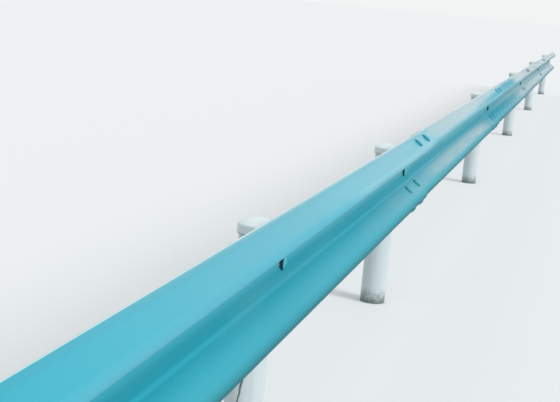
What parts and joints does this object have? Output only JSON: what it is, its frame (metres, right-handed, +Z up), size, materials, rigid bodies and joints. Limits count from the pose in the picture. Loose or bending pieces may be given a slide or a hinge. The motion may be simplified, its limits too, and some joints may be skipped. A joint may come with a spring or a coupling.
{
  "type": "highway guardrail section",
  "caption": "Straight run of roadside W beam guardrail: lapped corrugated steel panels on capped round tube posts, with a saddle bracket between beam and post.",
  "frame": {"origin": "on the ground, at the middle of the foot of the first post", "axes": "+X along the rail, -Y towards the road side of the beam, +Z up"},
  "size_m": [20.3201, 0.2237, 0.6753],
  "materials": {
    "beam_paint": "glossy turquoise plastic coat on galvanised sheet",
    "post_paint": "satin white coat on steel tube",
    "cap_paint": "satin white coat on pressed steel",
    "bracket_paint": "turquoise coat on bent steel plate",
    "bolt_zinc": "dull hot dip galvanised steel"
  },
  "bodies": {
    "root": {"beam_panel_1": "beam_paint", "beam_panel_2": "beam_paint", "beam_panel_3": "beam_paint", "beam_panel_4": "beam_paint", "beam_panel_5": "beam_paint", "post_1": "post_paint", "post_2": "post_paint", "post_3": "post_paint", "post_4": "post_paint", "post_5": "post_paint", "post_6": "post_paint", "post_7": "post_paint", "post_cap_1": "cap_paint", "post_cap_2": "cap_paint", "post_cap_3": "cap_paint", "post_cap_4": "cap_paint", "post_cap_5": "cap_paint", "post_cap_6": "cap_paint", "post_cap_7": "cap_paint", "post_bracket_1": "bracket_paint", "post_bracket_2": "bracket_paint", "post_bracket_3": "bracket_paint", "post_bracket_4": "bracket_paint", "post_bracket_5": "bracket_paint", "post_bracket_6": "bracket_paint", "post_bracket_7": "bracket_paint", "post_bolt_1": "bolt_zinc", "post_bolt_2": "bolt_zinc", "post_bolt_3": "bolt_zinc", "post_bolt_4": "bolt_zinc", "post_bolt_5": "bolt_zinc", "post_bolt_6": "bolt_zinc", "post_bolt_7": "bolt_zinc"}
  },
  "joints": []
}
